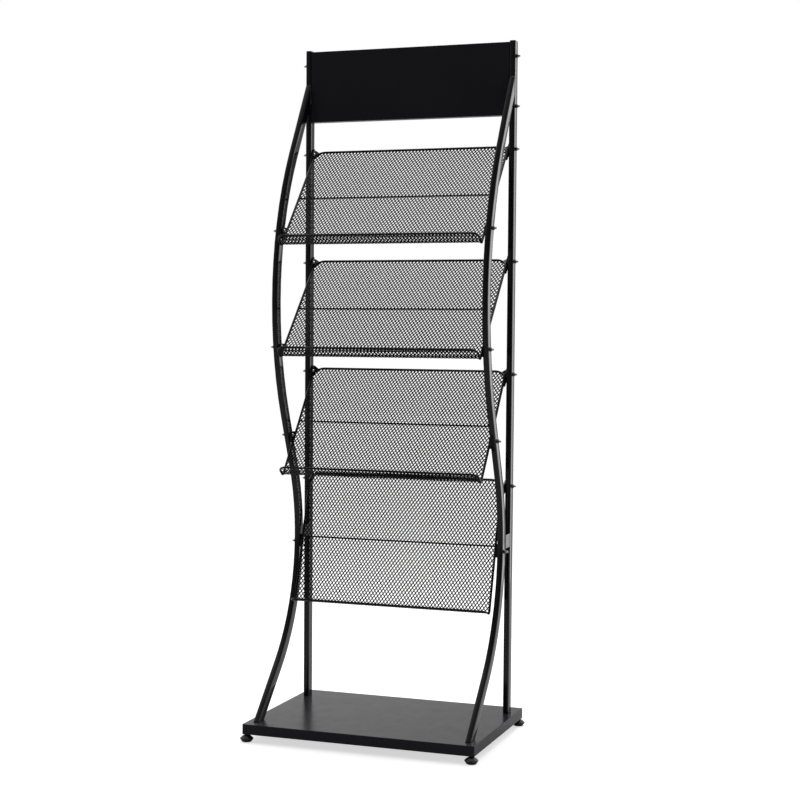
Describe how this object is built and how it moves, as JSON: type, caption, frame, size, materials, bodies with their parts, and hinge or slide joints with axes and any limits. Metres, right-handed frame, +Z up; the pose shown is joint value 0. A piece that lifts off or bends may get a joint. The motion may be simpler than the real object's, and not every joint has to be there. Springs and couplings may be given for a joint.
{
  "type": "newspaper rack",
  "caption": "Free-standing newspaper rack: sheet base on levelling feet, straight rear uprights, S-bent front tubes, sloping mesh shelves with lips, and a header panel.",
  "frame": {"origin": "on the floor, under the middle of the rack", "axes": "+Z up, the front faces -Y, +X is to the right for someone facing the front"},
  "size_m": [0.5386, 0.3986, 1.532],
  "materials": {
    "sheet_coat": "gloss black powder coat",
    "tube_coat": "gloss black powder coat",
    "wire_coat": "gloss black powder coat",
    "mesh_coat": "semi-gloss black powder coat",
    "foot_plastic": "satin black",
    "bolt_zinc": "zinc plated",
    "nut_zinc": "blackened"
  },
  "bodies": {
    "rack": {"base_tray": "sheet_coat", "header_panel": "sheet_coat", "left_rear_upright": "tube_coat", "left_front_tube": "tube_coat", "left_strut": "tube_coat", "right_rear_upright": "tube_coat", "right_front_tube": "tube_coat", "right_strut": "tube_coat", "shelf_1_wire_frame": "wire_coat", "shelf_1_mesh": "mesh_coat", "shelf_2_wire_frame": "wire_coat", "shelf_2_mesh": "mesh_coat", "shelf_3_wire_frame": "wire_coat", "shelf_3_mesh": "mesh_coat", "shelf_4_wire_frame": "wire_coat", "shelf_4_mesh": "mesh_coat", "bolt_shelf_1_rear_left": "bolt_zinc", "nut_shelf_1_rear_left": "nut_zinc", "bolt_shelf_1_front_left": "bolt_zinc", "nut_shelf_1_front_left": "nut_zinc", "bolt_shelf_2_rear_left": "bolt_zinc", "nut_shelf_2_rear_left": "nut_zinc", "bolt_shelf_2_front_left": "bolt_zinc", "nut_shelf_2_front_left": "nut_zinc", "bolt_shelf_3_rear_left": "bolt_zinc", "nut_shelf_3_rear_left": "nut_zinc", "bolt_shelf_3_front_left": "bolt_zinc", "nut_shelf_3_front_left": "nut_zinc", "bolt_shelf_4_rear_left": "bolt_zinc", "nut_shelf_4_rear_left": "nut_zinc", "bolt_shelf_4_front_left": "bolt_zinc", "nut_shelf_4_front_left": "nut_zinc", "bolt_header_lower_left": "bolt_zinc", "nut_header_lower_left": "nut_zinc", "bolt_header_upper_left": "bolt_zinc", "nut_header_upper_left": "nut_zinc", "bolt_shelf_1_rear_right": "bolt_zinc", "nut_shelf_1_rear_right": "nut_zinc", "bolt_shelf_1_front_right": "bolt_zinc", "nut_shelf_1_front_right": "nut_zinc", "bolt_shelf_2_rear_right": "bolt_zinc", "nut_shelf_2_rear_right": "nut_zinc", "bolt_shelf_2_front_right": "bolt_zinc", "nut_shelf_2_front_right": "nut_zinc", "bolt_shelf_3_rear_right": "bolt_zinc", "nut_shelf_3_rear_right": "nut_zinc", "bolt_shelf_3_front_right": "bolt_zinc", "nut_shelf_3_front_right": "nut_zinc", "bolt_shelf_4_rear_right": "bolt_zinc", "nut_shelf_4_rear_right": "nut_zinc", "bolt_shelf_4_front_right": "bolt_zinc", "nut_shelf_4_front_right": "nut_zinc", "bolt_header_lower_right": "bolt_zinc", "nut_header_lower_right": "nut_zinc", "bolt_header_upper_right": "bolt_zinc", "nut_header_upper_right": "nut_zinc"},
    "foot_front_left": {"foot_front_left": "foot_plastic"},
    "foot_front_right": {"foot_front_right": "foot_plastic"},
    "foot_rear_left": {"foot_rear_left": "foot_plastic"},
    "foot_rear_right": {"foot_rear_right": "foot_plastic"}
  },
  "joints": [
    {"name": "foot_front_left_screw", "type": "slide", "parent": "rack", "child": "foot_front_left", "axis": [0, 0, 1], "range_m": [-0.008, 0.002]},
    {"name": "foot_front_right_screw", "type": "slide", "parent": "rack", "child": "foot_front_right", "axis": [0, 0, 1], "range_m": [-0.008, 0.002]},
    {"name": "foot_rear_left_screw", "type": "slide", "parent": "rack", "child": "foot_rear_left", "axis": [0, 0, 1], "range_m": [-0.008, 0.002]},
    {"name": "foot_rear_right_screw", "type": "slide", "parent": "rack", "child": "foot_rear_right", "axis": [0, 0, 1], "range_m": [-0.008, 0.002]}
  ]
}
